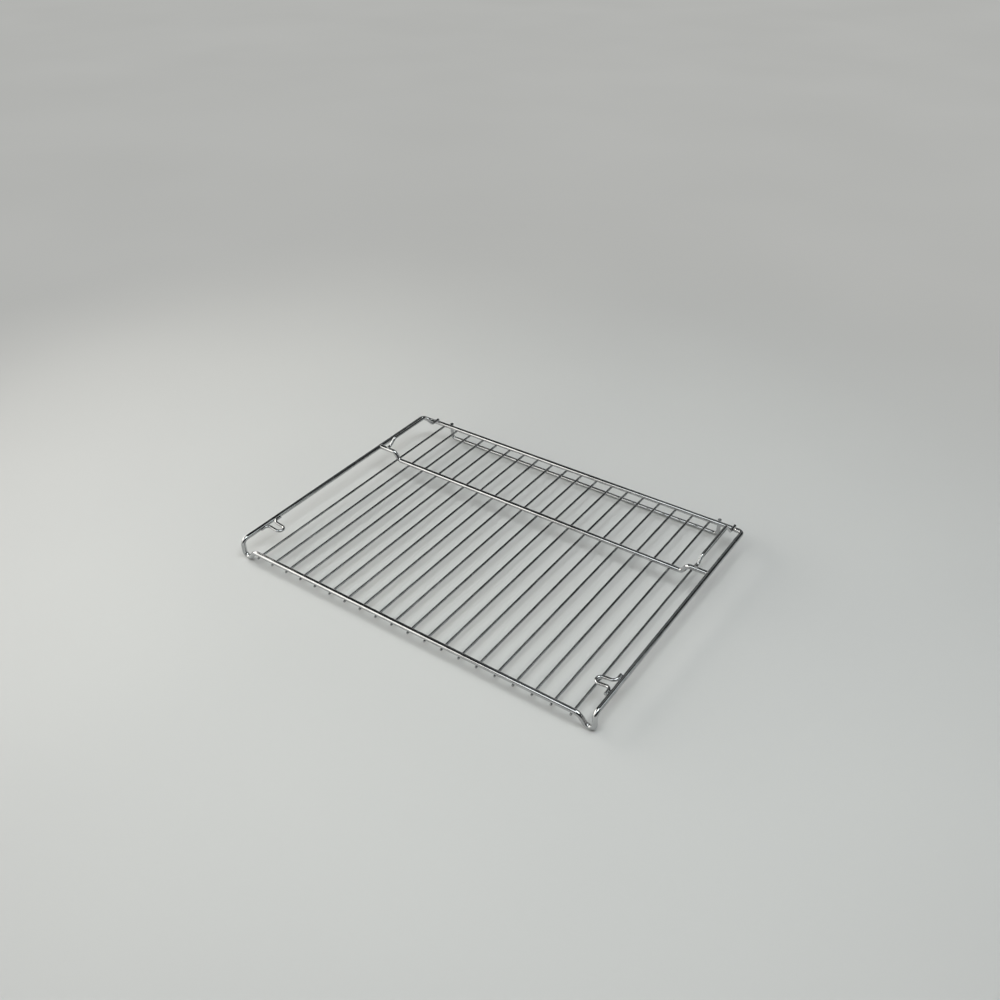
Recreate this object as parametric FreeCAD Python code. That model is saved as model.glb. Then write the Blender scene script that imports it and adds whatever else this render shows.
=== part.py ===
import FreeCAD, Part
import math
import os

from FreeCAD import Vector

# Oven shelf rack of welded steel wire, lying with the grid under its rails.
# All sizes are in millimetres, +Z is up and the rails are level.

# Wire gauges
RAIL_DIA = 5.5
GRID_DIA = 2.8
GUIDE_DIA = 3.5
LOOP_DIA = 3.5
BAR_DIA = 4.5

# Depth that a thinner wire is pressed into a thicker one by the weld
CROSS_WELD = 0.4
LINE_WELD = 0.25

# Rail layout, measured between wire axes
SIDE_SPAN = 460.0
RAIL_DEPTH = 338.0
CROSS_FROM_FRONT = 237.0
SIDE_RISE = 10.0

# Front corners, where the frame dips to a foot
DIP_DROP = 10.3
DIP_SLOPE_DEG = 52.0
DIP_ENTRY_RADIUS = 9.0
DIP_FOOT_RADIUS = 6.0
DIP_TOP_RADIUS = 6.0

# Back corners, where the frame steps down and back to the rear rail
CORNER_SETBACK = 13.5
CORNER_RADIUS = 5.0
STEP_INSET = 9.0
STEP_LEAN = 0.5
STEP_RADIUS = 3.5

# Cross rail cranks
CRANK_INSET = 24.5
CRANK_RUN = 6.5
CRANK_RADIUS = 6.0
CROSS_END_INSET = 1.2

# Grid wires, as many at this pitch as keep clear of both side rails
GRID_PITCH = 21.65
GRID_SIDE_CLEAR = 22.0
GRID_OVERHANG = 3.0
END_CHAMFER = 0.4

# Side guide wires between the cross rail and the rear rail
GUIDE_INSET = 14.75
GUIDE_RISE = 21.0
GUIDE_FRONT_LAP = 2.0
GUIDE_REAR_LAP = 1.0
GUIDE_FRONT_FLAT = 2.5
GUIDE_FRONT_RUN = 10.0
GUIDE_REAR_FLAT = 12.0
GUIDE_REAR_RUN = 15.0
GUIDE_RADIUS = 5.0

# Stop loops on the side rails
LOOP_FROM_FRONT = 40.0
LOOP_REACH = 22.0
LOOP_LEG_GAP = 9.5
LOOP_FOOT_SPAN = 30.0
LOOP_FOOT_RADIUS = 5.0
LOOP_FOOT_DEG = 12.0
LOOP_TILT_DEG = 8.0

# Rear bar behind and below the rear rail, with its ends set in from the outermost grid wires
BAR_INSET = 10.675
BAR_DROP = 18.8
BAR_TOP_ABOVE = 2.25
BAR_RADIUS = 5.0

# Derived positions
RAIL_R = RAIL_DIA / 2
GRID_R = GRID_DIA / 2
GUIDE_R = GUIDE_DIA / 2
LOOP_R = LOOP_DIA / 2
BAR_R = BAR_DIA / 2
SIDE_X = SIDE_SPAN / 2
GRID_COUNT = int((SIDE_SPAN - 2 * GRID_SIDE_CLEAR) / GRID_PITCH) + 1
GRID_EDGE_X = (GRID_COUNT - 1) / 2 * GRID_PITCH
BAR_BEHIND = RAIL_R + BAR_R - CROSS_WELD
RAIL_Z = BAR_DROP + BAR_R
SIDE_Z = RAIL_Z + SIDE_RISE
GRID_Z = RAIL_Z - RAIL_R - GRID_R + CROSS_WELD
FRONT_Y = -(RAIL_DEPTH + BAR_BEHIND + BAR_R - GRID_OVERHANG) / 2
BACK_Y = FRONT_Y + RAIL_DEPTH
CROSS_Y = FRONT_Y + CROSS_FROM_FRONT
CORNER_Y = BACK_Y - CORNER_SETBACK


def bent_path(stops):
    """Joins (point, bend radius) stops with straight lines and tangent arcs."""
    edges = []
    last = stops[0][0]
    for i in range(1, len(stops) - 1):
        corner, radius = stops[i]
        back = (stops[i - 1][0] - corner).normalize()
        ahead = (stops[i + 1][0] - corner).normalize()
        half = back.getAngle(ahead) / 2
        reach = radius / math.tan(half)
        inward = (back + ahead).normalize()
        start = corner + back * reach
        middle = corner + inward * (radius / math.sin(half) - radius)
        end = corner + ahead * reach
        if (start - last).Length > 1e-6:
            edges.append(Part.LineSegment(last, start).toShape())
        edges.append(Part.Arc(start, middle, end).toShape())
        last = end
    edges.append(Part.LineSegment(last, stops[-1][0]).toShape())
    return Part.Wire(edges)


def bent_wire(stops, diameter):
    """A round wire bent along the stops, with flat cut ends."""
    heading = stops[1][0] - stops[0][0]
    ring = Part.Circle(stops[0][0], heading, diameter / 2).toShape()
    section = Part.Face(Part.Wire([ring]))
    return bent_path(stops).makePipe(section)


def mirrored(shape):
    """The same piece on the left-hand side."""
    return shape.mirror(Vector(0, 0, 0), Vector(1, 0, 0))


def frame_wire():
    """Front rail, dipped front corners, side rails, back steps and rear rail."""
    slope = math.radians(DIP_SLOPE_DEG)
    # vertex that puts the lowest point of the foot bend at DIP_DROP
    foot_half = (math.pi / 2 - slope) / 2
    foot_z = RAIL_Z - DIP_DROP + DIP_FOOT_RADIUS - DIP_FOOT_RADIUS / math.tan(foot_half)
    dip_x = SIDE_X - (RAIL_Z - foot_z) / math.tan(slope)
    half = bent_wire([
        (Vector(0, FRONT_Y, RAIL_Z), 0),
        (Vector(dip_x, FRONT_Y, RAIL_Z), DIP_ENTRY_RADIUS),
        (Vector(SIDE_X, FRONT_Y, foot_z), DIP_FOOT_RADIUS),
        (Vector(SIDE_X, FRONT_Y, SIDE_Z), DIP_TOP_RADIUS),
        (Vector(SIDE_X, CORNER_Y, SIDE_Z), CORNER_RADIUS),
        (Vector(SIDE_X - STEP_INSET, CORNER_Y, SIDE_Z), STEP_RADIUS),
        (Vector(SIDE_X - STEP_INSET - STEP_LEAN, BACK_Y, RAIL_Z), STEP_RADIUS),
        (Vector(0, BACK_Y, RAIL_Z), 0),
    ], RAIL_DIA)
    return half.fuse(mirrored(half)).removeSplitter()


def cross_rail():
    """Straight rail with a crank up to the side rails at each end."""
    end_x = SIDE_X - CROSS_END_INSET
    high_x = SIDE_X - CRANK_INSET
    low_x = high_x - CRANK_RUN
    return bent_wire([
        (Vector(-end_x, CROSS_Y, SIDE_Z), 0),
        (Vector(-high_x, CROSS_Y, SIDE_Z), CRANK_RADIUS),
        (Vector(-low_x, CROSS_Y, RAIL_Z), CRANK_RADIUS),
        (Vector(low_x, CROSS_Y, RAIL_Z), CRANK_RADIUS),
        (Vector(high_x, CROSS_Y, SIDE_Z), CRANK_RADIUS),
        (Vector(end_x, CROSS_Y, SIDE_Z), 0),
    ], RAIL_DIA)


def grid_wire(index):
    """One straight grid wire under the front, cross and rear rails."""
    x = index * GRID_PITCH - GRID_EDGE_X
    start = Vector(x, FRONT_Y - GRID_OVERHANG, GRID_Z)
    length = RAIL_DEPTH + 2 * GRID_OVERHANG
    wire = Part.makeCylinder(GRID_R, length, start, Vector(0, 1, 0))
    rims = [edge for edge in wire.Edges if edge.Closed]
    return wire.makeChamfer(END_CHAMFER, rims)


def side_guide():
    """Raised wire lapped on the cross rail in front and on the rear rail behind."""
    lap = RAIL_R + GUIDE_R - CROSS_WELD
    x = SIDE_X - GUIDE_INSET
    front_z = SIDE_Z + lap
    rear_z = RAIL_Z + lap
    top_z = RAIL_Z + GUIDE_RISE
    front_y = CROSS_Y + GUIDE_FRONT_FLAT
    rear_y = BACK_Y - GUIDE_REAR_FLAT
    return bent_wire([
        (Vector(x, CROSS_Y - GUIDE_FRONT_LAP, front_z), 0),
        (Vector(x, front_y, front_z), GUIDE_RADIUS),
        (Vector(x, front_y + GUIDE_FRONT_RUN, top_z), GUIDE_RADIUS),
        (Vector(x, rear_y - GUIDE_REAR_RUN, top_z), GUIDE_RADIUS),
        (Vector(x, rear_y, rear_z), GUIDE_RADIUS),
        (Vector(x, BACK_Y + GUIDE_REAR_LAP, rear_z), 0),
    ], GUIDE_DIA)


def stop_loop():
    """Omega-shaped loop whose two feet lie along a side rail and whose tip hangs inward and down."""
    y = FRONT_Y + LOOP_FROM_FRONT
    apart = RAIL_R + LOOP_R - LINE_WELD
    foot_x = SIDE_X - apart * math.cos(math.radians(LOOP_FOOT_DEG))
    foot_z = SIDE_Z + apart * math.sin(math.radians(LOOP_FOOT_DEG))
    tip_x = SIDE_X - LOOP_REACH
    tip_z = foot_z - (foot_x - tip_x) * math.tan(math.radians(LOOP_TILT_DEG))
    leg = LOOP_LEG_GAP / 2
    foot = LOOP_FOOT_SPAN / 2
    return bent_wire([
        (Vector(foot_x, y - foot, foot_z), 0),
        (Vector(foot_x, y - leg, foot_z), LOOP_FOOT_RADIUS),
        (Vector(tip_x, y - leg, tip_z), leg),
        (Vector(tip_x, y + leg, tip_z), leg),
        (Vector(foot_x, y + leg, foot_z), LOOP_FOOT_RADIUS),
        (Vector(foot_x, y + foot, foot_z), 0),
    ], LOOP_DIA)


def rear_bar():
    """Bar along the back with both ends turned up against the rear rail."""
    x = GRID_EDGE_X - BAR_INSET
    y = BACK_Y + BAR_BEHIND
    top_z = RAIL_Z + BAR_TOP_ABOVE
    return bent_wire([
        (Vector(-x, y, top_z), 0),
        (Vector(-x, y, BAR_R), BAR_RADIUS),
        (Vector(x, y, BAR_R), BAR_RADIUS),
        (Vector(x, y, top_z), 0),
    ], BAR_DIA)


frame = frame_wire()
cross = cross_rail().cut(frame)
guide = side_guide().cut(frame).cut(cross)
loop = stop_loop().cut(frame)

pieces = {
    "frame_wire": frame,
    "cross_rail": cross,
    "side_guide_right": guide,
    "side_guide_left": mirrored(guide),
    "stop_loop_right": loop,
    "stop_loop_left": mirrored(loop),
    "rear_bar": rear_bar().cut(frame),
}
for index in range(GRID_COUNT):
    pieces[f"grid_wire_{index + 1:02d}"] = grid_wire(index).cut(frame).cut(cross)

os.makedirs("parts", exist_ok=True)
for name, shape in pieces.items():
    shape.Solids[0].exportStep(f"parts/{name}.step")
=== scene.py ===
import math
import random

import bpy
from mathutils import Matrix, Vector


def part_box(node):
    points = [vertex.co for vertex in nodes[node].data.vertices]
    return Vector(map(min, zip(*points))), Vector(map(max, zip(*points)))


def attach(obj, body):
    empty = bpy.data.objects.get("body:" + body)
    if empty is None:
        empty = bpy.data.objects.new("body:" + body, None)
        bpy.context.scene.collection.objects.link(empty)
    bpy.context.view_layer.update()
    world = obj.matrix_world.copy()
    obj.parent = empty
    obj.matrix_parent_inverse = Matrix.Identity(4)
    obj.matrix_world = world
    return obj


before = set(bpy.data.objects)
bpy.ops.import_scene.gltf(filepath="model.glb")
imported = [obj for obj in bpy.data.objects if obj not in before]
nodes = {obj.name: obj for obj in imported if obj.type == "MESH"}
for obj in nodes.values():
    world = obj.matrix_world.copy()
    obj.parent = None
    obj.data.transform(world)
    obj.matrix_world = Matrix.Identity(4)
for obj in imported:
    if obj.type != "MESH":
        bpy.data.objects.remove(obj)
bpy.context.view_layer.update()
scene = bpy.context.scene

# Camera, in metres and degrees, with its lens and sensor in millimetres
EYE = Vector((0.51772, -0.70908, 0.70205))
AIM = Vector((-0.05457, 0.08381, 0.0048))
ROLL_DEG = -1.299
LENS_MM = 35.13
SENSOR_MM = 36.0
CLIP_START = 0.01

# Wire radii and weld depths, in metres
RAIL_R = 0.00275
GRID_R = 0.0014
GUIDE_R = 0.00175
BAR_R = 0.00225
CROSS_WELD = 0.0004
LINE_WELD = 0.00025

# Places on the rack that no box gives, in metres and degrees
CROSS_FROM_FRONT = 0.237
SIDE_RISE = 0.010
LOOP_FROM_FRONT = 0.040
LOOP_WELD_FROM_MIDDLE = 0.0122
LOOP_FOOT_DEG = 12.0
CROSS_END_INSET = 0.0012

# Grid wires that pass under the cross rail's raised ends without touching them
OUTER_GRID_WIRES = ("grid_wire_01", "grid_wire_20")

# Weld beads: points along a bead and round it, and thicknesses in metres
BEAD_POINTS = 28
BEAD_RING = 8
GRID_BEAD = 0.00036
GUIDE_BEAD = 0.00045
POST_BEAD = 0.00050
END_BEAD = 0.00060
FOOT_BEAD = 0.00045
FOOT_BEAD_HALF_LENGTH = 0.0026
FOOT_BEAD_HALF_WIDTH = 0.0009

# Waves that make a bead uneven: the range of their size, as a share of the bead's thickness,
# the range of their number in one round, and the least share of the thickness that is left
BEAD_SEED = 11
BEAD_WAVES = 3
WAVE_SIZES = (0.1, 0.28)
WAVE_NUMBERS = (1, 5)
LEAST_SWELL = 0.45

# Floor: its own tones near the rack, and the even tones that it takes on further away
FLOOR_HALF = 6.0
FLOOR_ROUGHNESS = 0.6
FLOOR_COLOUR = (0.70, 0.70, 0.69, 1.0)
FLOOR_SHADE = (0.67, 0.67, 0.665, 1.0)
FAR_COLOUR = (0.458, 0.462, 0.448, 1.0)
FAR_SHADE = (0.444, 0.448, 0.434, 1.0)
FAR_START = 0.34
FAR_FULL = 1.15
CLOUD_SCALE = 1.5

# World: its dim colour, a pale band along the horizon given by the sines of its heights,
# and a pale patch given by its direction and the cosines of its angles
WORLD_COLOUR = (0.018, 0.019, 0.020, 1.0)
BAND_COLOUR = (0.36, 0.363, 0.355, 1.0)
BAND_FULL = 0.12
BAND_EDGE = 0.27
PATCH_AIM = (-0.29, 0.71, 0.64)
PATCH_EDGE = 0.955
PATCH_FULL = 0.99
PATCH_COLOUR = (0.27, 0.28, 0.28, 1.0)

# Lamps: name, place, aim, size, watts and colour
COOL = (0.95, 1.0, 1.0)
WARM = (1.0, 0.98, 0.92)
LAMPS = (
    ("overhead", (0.75, 0.05, 2.2), (0.75, 0.05, 0.0), (1.4, 1.5), 23.0, COOL),
    ("front_high", (-0.32, -1.45, 2.1), (0.0, 0.0, 0.0), (1.25, 1.4), 11.3, COOL),
    ("front_left", (-1.82, -1.41, 1.0), (0.0, 0.0, 0.1), (2.4, 1.75), 27.5, WARM),
    ("left", (-1.9, 0.0, 0.95), (0.0, 0.0, 0.0), (1.4, 1.3), 18.0, WARM),
    ("right", (0.95, 0.62, 1.385), (-0.23, -0.14, 0.03), (0.45, 1.9), 2.6, COOL),
)

# Values of a noise between which one tone turns into the other
TONE_START = 0.35
TONE_END = 0.65

# Chrome detail: mottle, fine marks, and the haze that the mottle gives as shares of the roughness
MOTTLE_SCALE = 90.0
MOTTLE_DETAIL = 4.0
MARK_DETAIL = 3.0
MARK_DEPTH = 0.00005
HAZE_START = 0.3
HAZE_END = 0.7
CLEAR_SHARE = 0.6
HAZE_SHARE = 1.6

# Finishes: shade, colour, roughness, scale of the fine marks along each axis, and their strength
CHROME_COLOUR = (0.55, 0.555, 0.56, 1.0)
CHROME_SHADE = (0.44, 0.445, 0.45, 1.0)
# Grid wires' chrome: slightly darker plating than the rails', and darker still as painted shade for
# the dark look that the thin wires take from their surroundings
GRID_COLOUR = (0.43, 0.435, 0.44, 1.0)
GRID_SHADE = (0.33, 0.335, 0.34, 1.0)
WELD_COLOUR = (0.50, 0.50, 0.50, 1.0)
WELD_SHADE = (0.30, 0.295, 0.29, 1.0)
BENT_GRAIN = (700.0, 700.0, 700.0)
X_GRAIN = (60.0, 2400.0, 2400.0)
Y_GRAIN = (2400.0, 60.0, 2400.0)
WELD_GRAIN = (900.0, 900.0, 900.0)
FINISHES = {
    "rail": (CHROME_SHADE, CHROME_COLOUR, 0.10, BENT_GRAIN, 0.15),
    "cross": (CHROME_SHADE, CHROME_COLOUR, 0.10, X_GRAIN, 0.15),
    "guide": (CHROME_SHADE, CHROME_COLOUR, 0.12, Y_GRAIN, 0.15),
    # The grid finish carries the painted shade of the darker grid tint
    "grid": (GRID_SHADE, GRID_COLOUR, 0.14, Y_GRAIN, 0.2),
    "weld": (WELD_SHADE, WELD_COLOUR, 0.30, WELD_GRAIN, 0.5),
}

X, Y, Z = Vector((1, 0, 0)), Vector((0, 1, 0)), Vector((0, 0, 1))


def make_camera():
    data = bpy.data.cameras.new("camera")
    data.lens = LENS_MM
    data.sensor_width = SENSOR_MM
    data.clip_start = CLIP_START
    camera = bpy.data.objects.new("camera", data)
    scene.collection.objects.link(camera)
    aim = (AIM - EYE).to_track_quat("-Z", "Y").to_matrix().to_4x4()
    roll = Matrix.Rotation(math.radians(ROLL_DEG), 4, "Z")
    camera.matrix_world = Matrix.Translation(EYE) @ aim @ roll
    scene.camera = camera


def two_tones(tree, factor, shade, colour):
    """A colour that goes from shade to colour with a noise."""
    ramp = tree.nodes.new("ShaderNodeValToRGB")
    ramp.color_ramp.elements[0].position = TONE_START
    ramp.color_ramp.elements[0].color = shade
    ramp.color_ramp.elements[1].position = TONE_END
    ramp.color_ramp.elements[1].color = colour
    tree.links.new(factor, ramp.inputs["Fac"])
    return ramp.outputs["Color"]


def chrome(name, shade, colour, roughness, grain, bump):
    """Plated wire: mottled tint and haze, with fine marks stretched by the grain scale."""
    material = bpy.data.materials.new(name)
    material.use_nodes = True
    tree = material.node_tree
    shader = tree.nodes["Principled BSDF"]
    shader.inputs["Metallic"].default_value = 1.0
    place = tree.nodes.new("ShaderNodeTexCoord")
    mottle = tree.nodes.new("ShaderNodeTexNoise")
    mottle.inputs["Scale"].default_value = MOTTLE_SCALE
    mottle.inputs["Detail"].default_value = MOTTLE_DETAIL
    tree.links.new(place.outputs["Object"], mottle.inputs["Vector"])
    tint = two_tones(tree, mottle.outputs["Fac"], shade, colour)
    tree.links.new(tint, shader.inputs["Base Color"])
    haze = tree.nodes.new("ShaderNodeMapRange")
    haze.inputs["From Min"].default_value = HAZE_START
    haze.inputs["From Max"].default_value = HAZE_END
    haze.inputs["To Min"].default_value = roughness * CLEAR_SHARE
    haze.inputs["To Max"].default_value = roughness * HAZE_SHARE
    tree.links.new(mottle.outputs["Fac"], haze.inputs["Value"])
    tree.links.new(haze.outputs["Result"], shader.inputs["Roughness"])
    stretch = tree.nodes.new("ShaderNodeMapping")
    stretch.inputs["Scale"].default_value = grain
    tree.links.new(place.outputs["Object"], stretch.inputs["Vector"])
    marks = tree.nodes.new("ShaderNodeTexNoise")
    marks.inputs["Scale"].default_value = 1.0
    marks.inputs["Detail"].default_value = MARK_DETAIL
    tree.links.new(stretch.outputs["Vector"], marks.inputs["Vector"])
    relief = tree.nodes.new("ShaderNodeBump")
    relief.inputs["Strength"].default_value = bump
    relief.inputs["Distance"].default_value = MARK_DEPTH
    tree.links.new(marks.outputs["Fac"], relief.inputs["Height"])
    tree.links.new(relief.outputs["Normal"], shader.inputs["Normal"])
    return material


def turns(count):
    """Evenly spaced angles, once round."""
    return [2 * math.pi * i / count for i in range(count)]


def saddle(middle, along_rail, along_wire, to_rail, wire_r, rail_r):
    """Closed line where a wire meets the surface of a rail that it is pressed across."""
    apart = rail_r + wire_r - CROSS_WELD
    points = []
    for turn in turns(BEAD_POINTS):
        rise = apart - rail_r + CROSS_WELD * math.sin(turn) ** 2
        across = math.sqrt(max(wire_r ** 2 - rise ** 2, 0.0))
        along = math.sqrt(max(rail_r ** 2 - (apart - rise) ** 2, 0.0))
        across = math.copysign(across, math.cos(turn))
        along = math.copysign(along, math.sin(turn))
        points.append(middle + along_rail * across + along_wire * along + to_rail * rise)
    return points


def oval(middle, along, across, half_length, half_width):
    """Closed line round the weld of two wires that lie side by side."""
    points = []
    for turn in turns(BEAD_POINTS):
        offset = along * half_length * math.cos(turn)
        points.append(middle + offset + across * half_width * math.sin(turn))
    return points


def butt(end, heading, rail_r):
    """Closed line where a rail's end meets the side of another rail of the same gauge."""
    points = []
    for turn in turns(BEAD_POINTS):
        height = rail_r * math.sin(turn)
        back = max(math.sqrt(max(rail_r ** 2 - height ** 2, 0.0)), CROSS_END_INSET)
        points.append(end - heading * back + Y * rail_r * math.cos(turn) + Z * height)
    return points


def bead_mesh(lines):
    """Uneven rounds of weld metal along closed lines, given as (points, thickness)."""
    dice = random.Random(BEAD_SEED)
    verts, faces = [], []
    for points, thickness in lines:
        count = len(points)
        middle = sum(points, Vector()) / count
        waves = []
        for _ in range(BEAD_WAVES):
            size = dice.uniform(*WAVE_SIZES)
            number = dice.randint(*WAVE_NUMBERS)
            start = dice.uniform(0, 2 * math.pi)
            waves.append((size, number, start))
        first = len(verts)
        for i, turn in enumerate(turns(count)):
            swell = 1 + sum(size * math.sin(number * turn + start) for size, number, start in waves)
            radius = thickness * max(swell, LEAST_SWELL)
            heading = (points[(i + 1) % count] - points[i - 1]).normalized()
            outward = points[i] - middle
            outward = (outward - heading * outward.dot(heading)).normalized()
            upward = heading.cross(outward)
            for around in turns(BEAD_RING):
                spoke = outward * math.cos(around) + upward * math.sin(around)
                verts.append(points[i] + spoke * radius)
        for i in range(count):
            ring = first + i * BEAD_RING
            next_ring = first + (i + 1) % count * BEAD_RING
            for j in range(BEAD_RING):
                k = (j + 1) % BEAD_RING
                faces.append((ring + j, ring + k, next_ring + k, next_ring + j))
    mesh = bpy.data.meshes.new("weld_beads")
    mesh.from_pydata(verts, [], faces)
    mesh.polygons.foreach_set("use_smooth", [True] * len(faces))
    mesh.update()
    return mesh


def weld_lines():
    """Every weld on the rack as a closed line and a bead thickness."""
    low, high = (Vector(c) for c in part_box("frame_wire"))
    front_y, back_y = low.y + RAIL_R, high.y - RAIL_R
    cross_y = front_y + CROSS_FROM_FRONT
    side_x = high.x - RAIL_R
    rail_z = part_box("grid_wire_01")[1][2] - CROSS_WELD + RAIL_R
    side_z = rail_z + SIDE_RISE
    lines = []
    for name in sorted(nodes):
        wire_low, wire_high = (Vector(c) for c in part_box(name))
        centre = (wire_low + wire_high) / 2
        if name.startswith("grid_wire"):
            rails = [front_y, back_y]
            if name not in OUTER_GRID_WIRES:
                rails.append(cross_y)
            axis_z = wire_high.z - GRID_R
            for y in rails:
                place = Vector((centre.x, y, axis_z))
                lines.append((saddle(place, X, Y, Z, GRID_R, RAIL_R), GRID_BEAD))
        elif name.startswith("side_guide"):
            lap = RAIL_R + GUIDE_R - CROSS_WELD
            for y, z in ((cross_y, side_z), (back_y, rail_z)):
                place = Vector((centre.x, y, z + lap))
                lines.append((saddle(place, X, Y, -Z, GUIDE_R, RAIL_R), GUIDE_BEAD))
        elif name.startswith("stop_loop"):
            side = math.copysign(1.0, centre.x)
            tilt = math.radians(LOOP_FOOT_DEG)
            inward = Vector((-side * math.cos(tilt), 0, math.sin(tilt)))
            upward = Vector((side * math.sin(tilt), 0, math.cos(tilt)))
            for end in (-1, 1):
                y = front_y + LOOP_FROM_FRONT + end * LOOP_WELD_FROM_MIDDLE
                place = Vector((side * side_x, y, side_z)) + inward * (RAIL_R - LINE_WELD / 2)
                line = oval(place, Y, upward, FOOT_BEAD_HALF_LENGTH, FOOT_BEAD_HALF_WIDTH)
                lines.append((line, FOOT_BEAD))
    bar_low, bar_high = (Vector(c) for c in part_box("rear_bar"))
    for x in (bar_low.x + BAR_R, bar_high.x - BAR_R):
        place = Vector((x, bar_high.y - BAR_R, rail_z))
        lines.append((saddle(place, X, Z, -Y, BAR_R, RAIL_R), POST_BEAD))
    for side in (-1, 1):
        end = Vector((side * side_x, cross_y, side_z))
        lines.append((butt(end, X * side, RAIL_R), END_BEAD))
    return lines


def make_welds(finish):
    beads = bpy.data.objects.new("weld_beads", bead_mesh(weld_lines()))
    scene.collection.objects.link(beads)
    beads.data.materials.append(finish)
    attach(beads, "root")


def far_share(tree, place):
    """How far the floor has turned into an even pale tone, as seen directly or in a reflection."""
    reach = tree.nodes.new("ShaderNodeVectorMath")
    reach.operation = "LENGTH"
    tree.links.new(place, reach.inputs[0])
    away = tree.nodes.new("ShaderNodeMapRange")
    away.interpolation_type = "SMOOTHSTEP"
    away.inputs["From Min"].default_value = FAR_START
    away.inputs["From Max"].default_value = FAR_FULL
    tree.links.new(reach.outputs["Value"], away.inputs["Value"])
    path = tree.nodes.new("ShaderNodeLightPath")
    seen = path.outputs["Is Camera Ray"]
    for ray in ("Is Glossy Ray", "Is Transmission Ray"):
        either = tree.nodes.new("ShaderNodeMath")
        either.operation = "MAXIMUM"
        tree.links.new(seen, either.inputs[0])
        tree.links.new(path.outputs[ray], either.inputs[1])
        seen = either.outputs["Value"]
    both = tree.nodes.new("ShaderNodeMath")
    both.operation = "MULTIPLY"
    tree.links.new(away.outputs["Result"], both.inputs[0])
    tree.links.new(seen, both.inputs[1])
    return both.outputs["Value"]


def floor_material():
    """Faintly clouded pale floor that keeps its shadows near the rack and is even further away."""
    material = bpy.data.materials.new("floor")
    material.use_nodes = True
    tree = material.node_tree
    shader = tree.nodes["Principled BSDF"]
    shader.inputs["Roughness"].default_value = FLOOR_ROUGHNESS
    place = tree.nodes.new("ShaderNodeTexCoord")
    cloud = tree.nodes.new("ShaderNodeTexNoise")
    cloud.inputs["Scale"].default_value = CLOUD_SCALE
    tree.links.new(place.outputs["Object"], cloud.inputs["Vector"])
    near_tone = two_tones(tree, cloud.outputs["Fac"], FLOOR_SHADE, FLOOR_COLOUR)
    tree.links.new(near_tone, shader.inputs["Base Color"])
    far = tree.nodes.new("ShaderNodeEmission")
    far_tone = two_tones(tree, cloud.outputs["Fac"], FAR_SHADE, FAR_COLOUR)
    tree.links.new(far_tone, far.inputs["Color"])
    blend = tree.nodes.new("ShaderNodeMixShader")
    tree.links.new(far_share(tree, place.outputs["Object"]), blend.inputs["Fac"])
    tree.links.new(shader.outputs["BSDF"], blend.inputs[1])
    tree.links.new(far.outputs["Emission"], blend.inputs[2])
    tree.links.new(blend.outputs["Shader"], tree.nodes["Material Output"].inputs["Surface"])
    return material


def make_floor():
    """Plain floor under the front feet and the rear bar, which lie a little apart in height."""
    front_low, _ = (Vector(c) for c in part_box("frame_wire"))
    bar_low, bar_high = (Vector(c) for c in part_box("rear_bar"))
    front_y, front_z = front_low.y + RAIL_R, front_low.z
    bar_y, bar_z = bar_high.y - BAR_R, bar_low.z
    slope = (bar_z - front_z) / (bar_y - front_y)
    corners = []
    for x, y in ((-1, -1), (1, -1), (1, 1), (-1, 1)):
        z = front_z + slope * (y * FLOOR_HALF - front_y)
        corners.append((x * FLOOR_HALF, y * FLOOR_HALF, z))
    mesh = bpy.data.meshes.new("floor")
    mesh.from_pydata(corners, [], [(0, 1, 2, 3)])
    mesh.materials.append(floor_material())
    floor = bpy.data.objects.new("floor", mesh)
    scene.collection.objects.link(floor)


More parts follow.
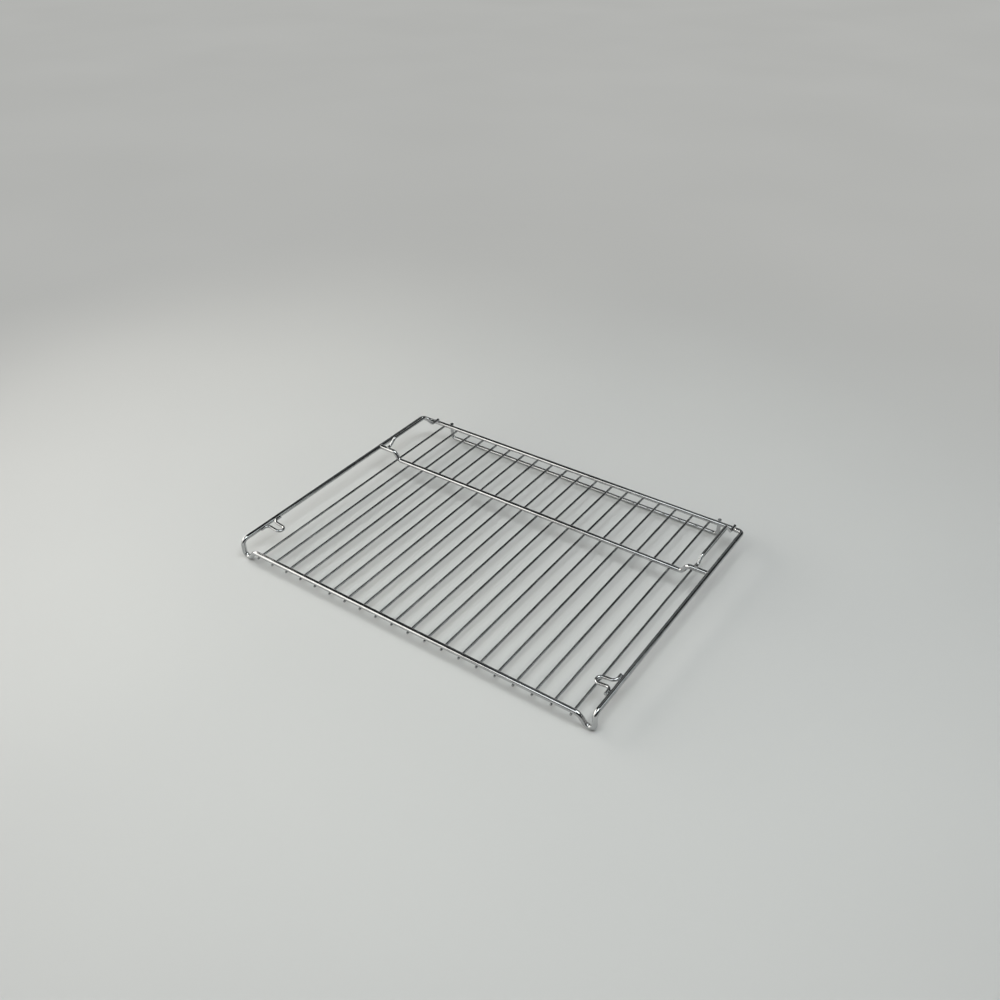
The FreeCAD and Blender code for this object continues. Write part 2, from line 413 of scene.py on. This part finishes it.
def make_world():
    """Dim overhead, pale along the horizon, with one faint pale patch high at the back left."""
    world = bpy.data.worlds.new("world")
    scene.world = world
    world.use_nodes = True
    tree = world.node_tree
    place = tree.nodes.new("ShaderNodeTexCoord")
    toward = tree.nodes.new("ShaderNodeVectorMath")
    toward.operation = "DOT_PRODUCT"
    toward.inputs[1].default_value = PATCH_AIM
    tree.links.new(place.outputs["Generated"], toward.inputs[0])
    patch = tree.nodes.new("ShaderNodeValToRGB")
    patch.color_ramp.interpolation = "EASE"
    patch.color_ramp.elements[0].position = PATCH_EDGE
    patch.color_ramp.elements[0].color = WORLD_COLOUR
    patch.color_ramp.elements[1].position = PATCH_FULL
    patch.color_ramp.elements[1].color = PATCH_COLOUR
    tree.links.new(toward.outputs["Value"], patch.inputs["Fac"])
    height = tree.nodes.new("ShaderNodeSeparateXYZ")
    tree.links.new(place.outputs["Generated"], height.inputs["Vector"])
    band = tree.nodes.new("ShaderNodeMapRange")
    band.interpolation_type = "SMOOTHSTEP"
    band.inputs["From Min"].default_value = BAND_FULL
    band.inputs["From Max"].default_value = BAND_EDGE
    tree.links.new(height.outputs["Z"], band.inputs["Value"])
    blend = tree.nodes.new("ShaderNodeMix")
    blend.data_type = "RGBA"
    blend.inputs["A"].default_value = BAND_COLOUR
    tree.links.new(band.outputs["Result"], blend.inputs["Factor"])
    tree.links.new(patch.outputs["Color"], blend.inputs["B"])
    tree.links.new(blend.outputs["Result"], tree.nodes["Background"].inputs["Color"])


def soft_lamp(name, place, aim, size, watts, colour):
    data = bpy.data.lights.new(name, "AREA")
    data.shape = "RECTANGLE"
    data.size, data.size_y = size
    data.energy = watts
    data.color = colour
    lamp = bpy.data.objects.new(name, data)
    scene.collection.objects.link(lamp)
    turn = (Vector(aim) - Vector(place)).to_track_quat("-Z", "Y").to_matrix().to_4x4()
    lamp.matrix_world = Matrix.Translation(Vector(place)) @ turn
    lamp.visible_camera = False


def finish_name(node):
    """The finish of a CAD node, by the way its wire runs."""
    if node.startswith("grid_wire"):
        return "grid"
    if node.startswith("side_guide"):
        return "guide"
    if node in ("cross_rail", "rear_bar"):
        return "cross"
    return "rail"


make_camera()
make_floor()
make_world()
for lamp_values in LAMPS:
    soft_lamp(*lamp_values)

finishes = {name: chrome(name, *values) for name, values in FINISHES.items()}
for name, part in nodes.items():
    part.data.materials.clear()
    part.data.materials.append(finishes[finish_name(name)])
make_welds(finishes["weld"])

scene.view_settings.view_transform = "Standard"
